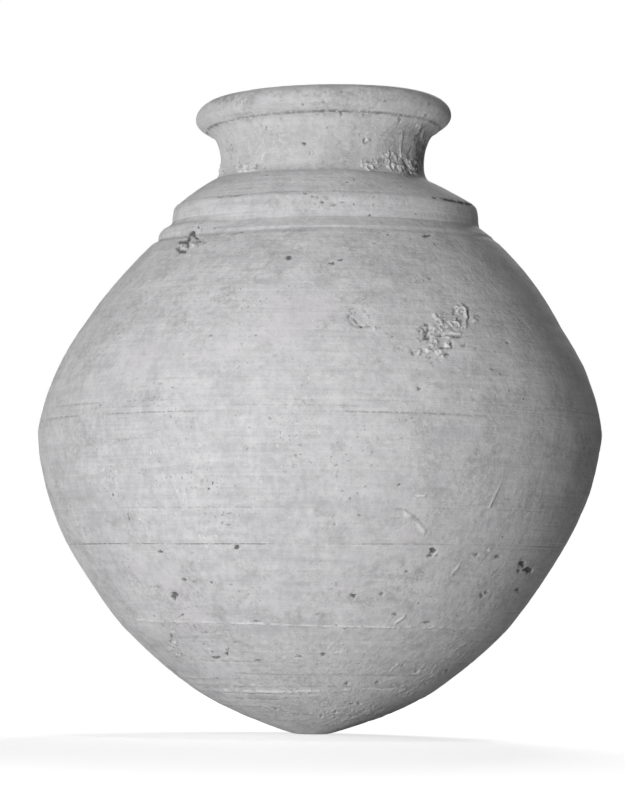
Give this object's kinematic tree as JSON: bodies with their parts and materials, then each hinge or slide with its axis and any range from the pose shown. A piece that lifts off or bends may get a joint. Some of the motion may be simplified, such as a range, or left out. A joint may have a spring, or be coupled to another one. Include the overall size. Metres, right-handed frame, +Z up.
{
  "type": "clay storage jar",
  "caption": "Large pale clay storage jar with a pointed foot, wide belly, two shoulder mouldings, a short neck and a rolled rim.",
  "frame": {"origin": "centre of the small flat at the foot's tip", "axes": "+Z up along the jar's axis, -Y towards the pictured front"},
  "size_m": [0.5324, 0.5324, 0.6003],
  "materials": {
    "body_clay": "matt, turned, worn and pitted",
    "band_clay": "matt, turned bands",
    "neck_clay": "matt, with lime deposits",
    "coil_clay": "matt, finger pressed"
  },
  "bodies": {
    "root": {"foot_plug": "body_clay", "foot_ring": "body_clay", "lower_drum": "body_clay", "lower_belly_drum": "body_clay", "upper_belly_drum": "body_clay", "shoulder_drum": "body_clay", "shoulder_cap": "body_clay", "lower_moulding": "band_clay", "collar_band": "band_clay", "neck": "neck_clay", "rim_roll": "neck_clay", "lower_seam_coil": "coil_clay", "belly_seam_coil": "coil_clay", "shoulder_seam_coil": "coil_clay"}
  },
  "joints": []
}
